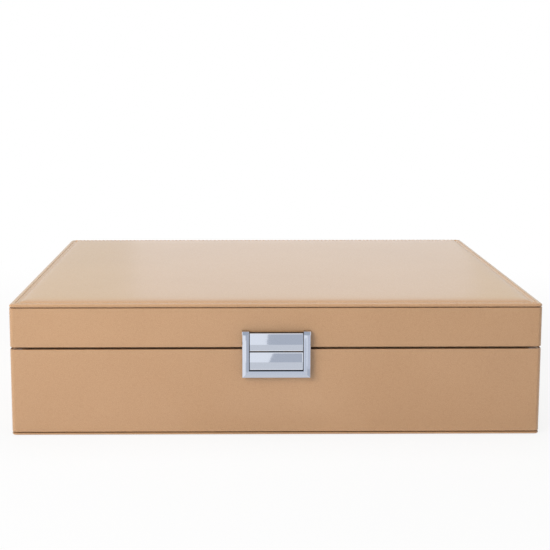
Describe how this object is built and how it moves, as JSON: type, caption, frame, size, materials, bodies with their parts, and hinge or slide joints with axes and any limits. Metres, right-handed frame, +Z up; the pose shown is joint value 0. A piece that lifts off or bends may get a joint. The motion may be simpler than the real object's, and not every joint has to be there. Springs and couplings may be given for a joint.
{
  "type": "eyeglasses storage box",
  "caption": "Low rectangular leatherette box with a hinged lid, a chrome push-button clasp and lined compartments for pairs of eyeglasses.",
  "frame": {"origin": "middle of the overall footprint, on the surface that the box stands on", "axes": "+X along the width, to the right seen from the front; -Y towards the front, where the clasp is; +Z up"},
  "size_m": [0.335, 0.2566, 0.085],
  "materials": {
    "leatherette": "tan fine-grained coated fabric with a satin sheen",
    "board": "plain fibreboard",
    "velvet": "beige short-pile velvet",
    "flock": "dark flock paper",
    "chrome": "polished plating",
    "nickel": "plated, satin",
    "steel": "zinc plated"
  },
  "bodies": {
    "base": {"base_board": "leatherette", "underside_sheet": "flock", "base_wrap": "leatherette", "base_front_board": "board", "base_back_board": "board", "base_left_board": "board", "base_right_board": "board", "lining_front": "velvet", "lining_back": "velvet", "lining_left": "velvet", "lining_right": "velvet", "floor_pad_1": "velvet", "floor_pad_2": "velvet", "floor_pad_3": "velvet", "floor_pad_4": "velvet", "floor_pad_5": "velvet", "floor_pad_6": "velvet", "floor_pad_7": "velvet", "floor_pad_8": "velvet", "centre_divider": "velvet", "row_divider_1": "velvet", "row_divider_2": "velvet", "row_divider_3": "velvet", "clasp_frame": "chrome", "clasp_screw_left": "steel", "clasp_screw_right": "steel", "clasp_spring": "steel", "hinge_base_leaf_left": "nickel", "hinge_base_leaf_right": "nickel", "hinge_pin_left": "steel", "hinge_pin_right": "steel", "hinge_base_screw_left_1": "nickel", "hinge_base_screw_left_2": "nickel", "hinge_base_screw_right_1": "nickel", "hinge_base_screw_right_2": "nickel"},
    "lid": {"lid_top_board": "leatherette", "lid_wrap": "leatherette", "lid_front_board": "board", "lid_back_board": "board", "lid_left_board": "board", "lid_right_board": "board", "lid_pad": "velvet", "lid_lining_front": "velvet", "lid_lining_back": "velvet", "lid_lining_left": "velvet", "lid_lining_right": "velvet", "clasp_strike": "chrome", "strike_screw_left": "steel", "strike_screw_right": "steel", "hinge_lid_leaf_left": "nickel", "hinge_lid_leaf_right": "nickel", "hinge_lid_screw_left_1": "nickel", "hinge_lid_screw_left_2": "nickel", "hinge_lid_screw_right_1": "nickel", "hinge_lid_screw_right_2": "nickel"},
    "button": {"clasp_button": "chrome"}
  },
  "joints": [
    {"name": "lid_hinge", "type": "hinge", "parent": "base", "child": "lid", "pos_m": [0, 0.12425, 0.0562], "axis": [-1, 0, 0], "range_deg": [0, 95]},
    {"name": "clasp_button_press", "type": "slide", "parent": "base", "child": "button", "axis": [0, 1, 0], "range_m": [0, 0.0015], "stiffness_N_per_m": 600, "springref_m": -0.003, "deforming": ["clasp_spring"]}
  ]
}
